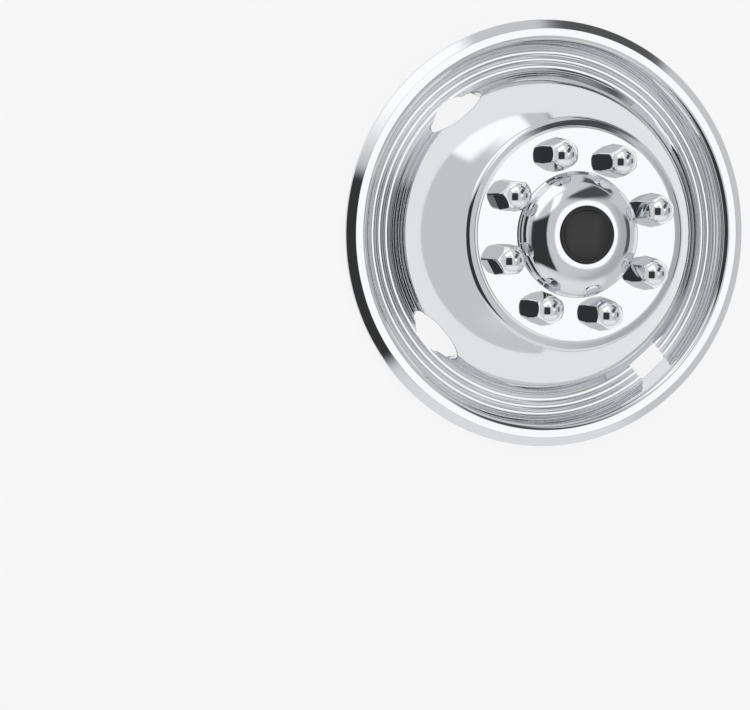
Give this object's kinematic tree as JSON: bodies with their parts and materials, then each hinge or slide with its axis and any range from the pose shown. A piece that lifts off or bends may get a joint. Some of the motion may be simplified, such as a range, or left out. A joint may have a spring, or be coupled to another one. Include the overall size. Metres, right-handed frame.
{
  "type": "truck wheel simulator",
  "caption": "Polished stainless face liner for a dual-wheel truck's front wheel, with ribbed floor, oval hand holes, valve slot, domed lug covers and a hub cap with a black medallion.",
  "frame": {"origin": "on the wheel's axis, in the plane that the stepped floor's back rests on", "axes": "+Z along the wheel's axis, out of the face; +X and +Y across the wheel, each through a spring clip of the hub cap and midway between two hand holes"},
  "size_m": [0.436, 0.436, 0.1263],
  "materials": {
    "stainless_liner": "polished, close to a mirror",
    "cap_chrome": "polished",
    "cover_chrome": "bright chrome",
    "medallion_black": "gloss",
    "adhesive_pad": "foam",
    "spring_steel": "plain, as rolled"
  },
  "bodies": {
    "root": {"face_liner": "stainless_liner", "hub_cap": "cap_chrome", "medallion": "medallion_black", "medallion_pad": "adhesive_pad", "lug_cover_1": "cover_chrome", "lug_cover_2": "cover_chrome", "lug_cover_3": "cover_chrome", "lug_cover_4": "cover_chrome", "lug_cover_5": "cover_chrome", "lug_cover_6": "cover_chrome", "lug_cover_7": "cover_chrome", "lug_cover_8": "cover_chrome", "lug_retainer_1": "spring_steel", "lug_retainer_2": "spring_steel", "lug_retainer_3": "spring_steel", "lug_retainer_4": "spring_steel", "lug_retainer_5": "spring_steel", "lug_retainer_6": "spring_steel", "lug_retainer_7": "spring_steel", "lug_retainer_8": "spring_steel", "cap_clip_1": "spring_steel", "cap_clip_2": "spring_steel", "cap_clip_3": "spring_steel", "cap_clip_4": "spring_steel"}
  },
  "joints": []
}
